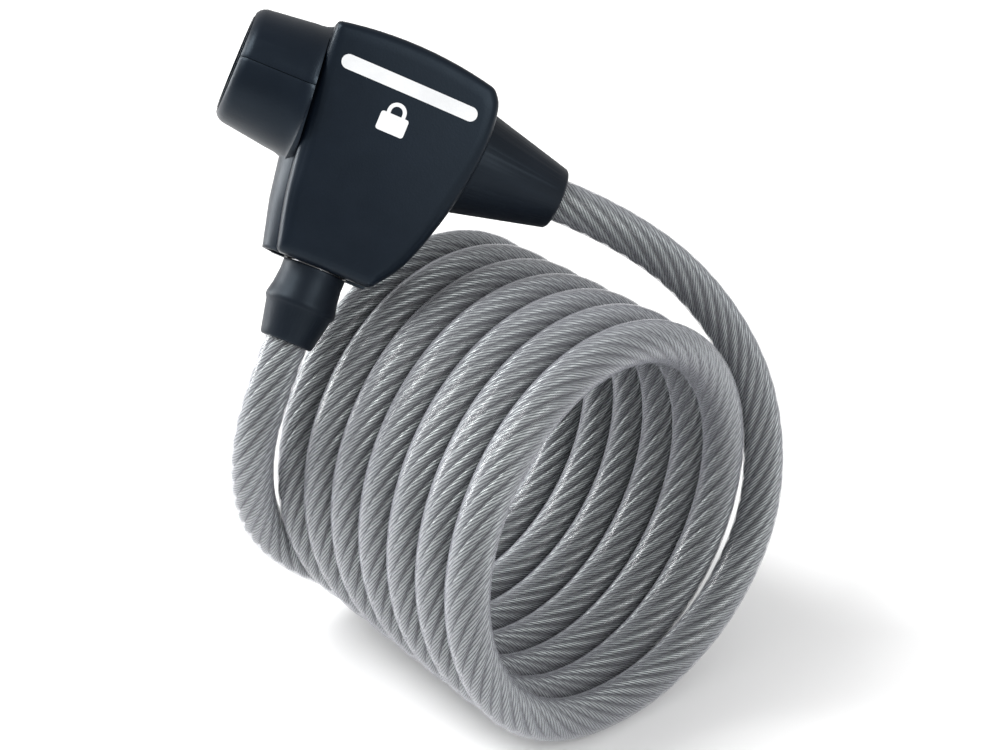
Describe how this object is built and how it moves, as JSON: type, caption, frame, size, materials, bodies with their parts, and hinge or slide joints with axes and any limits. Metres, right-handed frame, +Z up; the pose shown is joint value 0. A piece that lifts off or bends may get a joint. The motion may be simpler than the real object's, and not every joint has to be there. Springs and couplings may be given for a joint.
{
  "type": "spiral cable lock",
  "caption": "Coiled steel cable lock with a T-shaped lock head: the plug on one end of the cable seats in the head, and a key turns the latch.",
  "frame": {"origin": "the point of the floor under the middle of the cable's coil, which lies on its side", "axes": "+X along the coil's axis, towards the turn that the lead joins; +Z up; the head stands over the coil's -X end"},
  "size_m": [0.0903, 0.0948, 0.126],
  "materials": {
    "cable": "clear vinyl sheath over grey steel strands",
    "housing": "satin, finely grained",
    "boot": "satin",
    "steel": "zinc plated",
    "die_cast": "as cast zinc alloy",
    "brass": "machined",
    "chrome": "polished",
    "rubber": "matt"
  },
  "bodies": {
    "cable": {"cable_coil": "cable", "cable_lead": "cable", "cable_tail": "cable", "plug_pin": "steel", "plug_ferrule": "steel", "plug_sleeve": "boot"},
    "head": {"cable_root": "cable", "face_cover": "housing", "back_cover": "housing", "upper_housing": "housing", "lower_housing": "housing", "cable_boot": "boot", "lock_block": "die_cast", "lock_cylinder": "brass", "key_bezel": "housing", "latch_spring": "steel", "socket_bush": "steel", "socket_seal": "rubber", "anchor_ferrule": "steel", "anchor_pin": "steel", "cylinder_set_screw": "steel", "core_retaining_pin": "steel", "cover_screws": "steel"},
    "core": {"key_core": "brass", "wafers": "brass", "dust_shutter": "chrome", "drive_cam": "die_cast"},
    "bolt": {"latch_bolt": "die_cast"}
  },
  "joints": [
    {"name": "head_pull", "type": "slide", "parent": "cable", "child": "head", "axis": [-0.1269, 0.5879, 0.7989], "range_m": [0, 0.038]},
    {"name": "key_turn", "type": "hinge", "parent": "head", "child": "core", "pos_m": [-0.03915, -0.02379, 0.11287], "axis": [0.6571, 0.6532, -0.3763], "range_deg": [0, 90]},
    {"name": "bolt_slide", "type": "slide", "parent": "head", "child": "bolt", "axis": [0.6571, 0.6532, -0.3763], "range_m": [0, 0.0021], "deforming": ["latch_spring"]}
  ],
  "couplings": [
    {"joint": "bolt_slide", "follows": "key_turn", "m_per_rad": 0.0012732}
  ]
}
